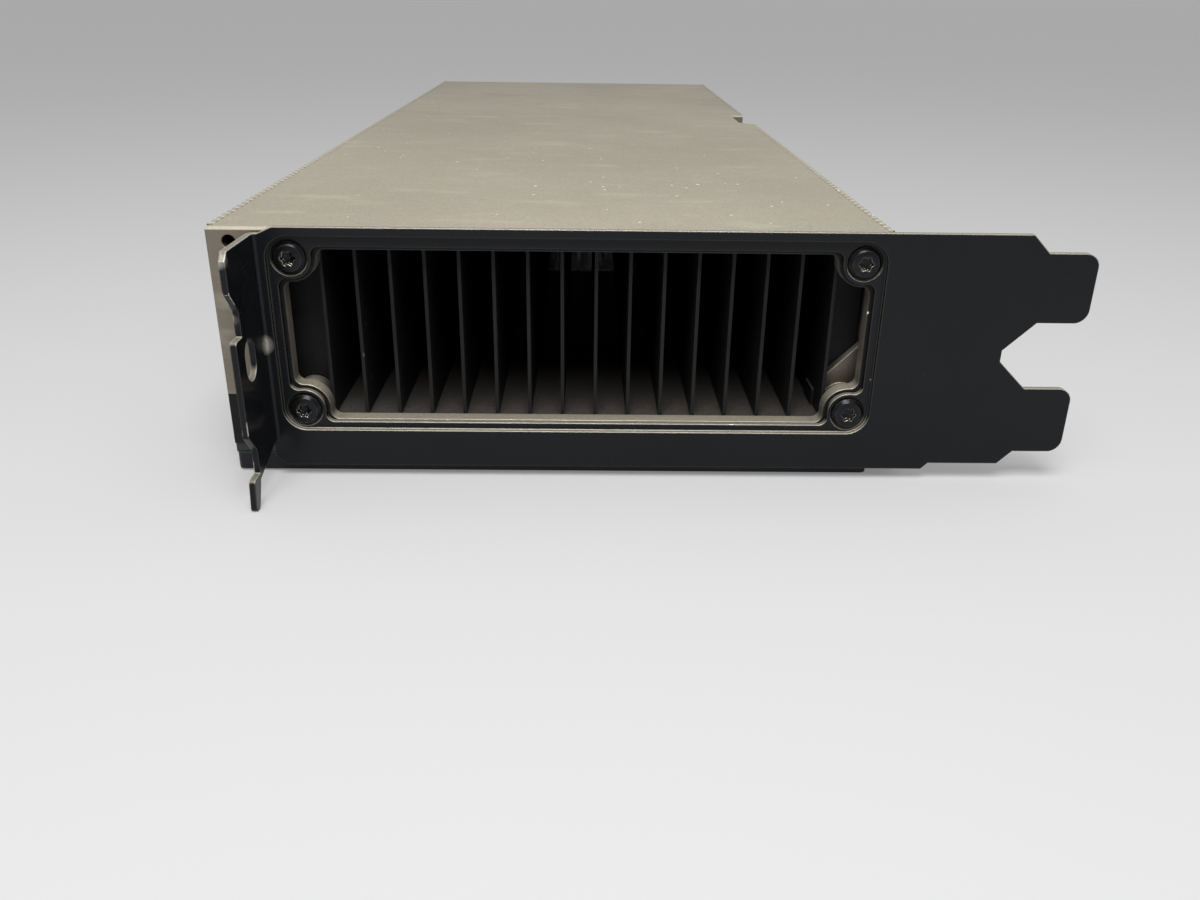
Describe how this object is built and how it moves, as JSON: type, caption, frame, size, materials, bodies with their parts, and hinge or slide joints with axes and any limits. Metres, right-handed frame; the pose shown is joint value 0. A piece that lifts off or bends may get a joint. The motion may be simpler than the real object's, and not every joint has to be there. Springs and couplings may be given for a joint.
{
  "type": "passive accelerator card",
  "caption": "Full-length two-slot accelerator card with a plain metal shroud, open front air window, finned heatsink, slotted bracket and edge connector.",
  "frame": {"origin": "edge connector: middle of the key notch on the finger edge, half way through the board", "axes": "+X out of the finger edge into the socket, +Y from the bracket to the rear end, +Z from the board to the shroud's roof"},
  "size_m": [0.1262, 0.2802, 0.038],
  "materials": {
    "bracket_black": "satin black powder coat with chipped edges",
    "screw_black": "black oxide",
    "champagne_aluminium": "fine blasted and anodised champagne gold",
    "cast_black": "black anodised casting, aluminium in the real part",
    "chamber_metal": "nickel plated copper in the real part",
    "fin_metal": "mill finish",
    "laminate": "glass fibre laminate with dark mask",
    "package_green": "package laminate",
    "silicon": "polished silicon",
    "steel_nickel": "nickel plated",
    "paste_grey": "soft compound",
    "chip_black": "moulded epoxy",
    "gold": "gold plated",
    "cap_rubber": "soft black",
    "pad_pink": "silicone gap pad",
    "inlet_plastic": "black nylon",
    "backplate_black": "satin black"
  },
  "bodies": {
    "root": {"bracket": "bracket_black", "bracket_screws": "screw_black", "shroud": "champagne_aluminium", "shroud_screws": "screw_black", "midframe": "cast_black", "vapour_chamber": "chamber_metal", "main_fins": "fin_metal", "processor_substrate": "package_green", "processor_die": "silicon", "memory_stacks": "silicon", "package_stiffener": "steel_nickel", "thermal_paste": "paste_grey", "power_stages": "chip_black", "chokes": "chip_black", "capacitors": "chip_black", "thermal_pads": "pad_pink", "controller_chips": "chip_black", "circuit_board": "laminate", "edge_contacts": "gold", "bridge_contacts": "gold", "bridge_caps": "cap_rubber", "power_inlet": "inlet_plastic", "inlet_pins": "gold", "backplate": "backplate_black", "backplate_screws": "screw_black", "retention_screws": "steel_nickel", "retention_springs": "steel_nickel"}
  },
  "joints": []
}
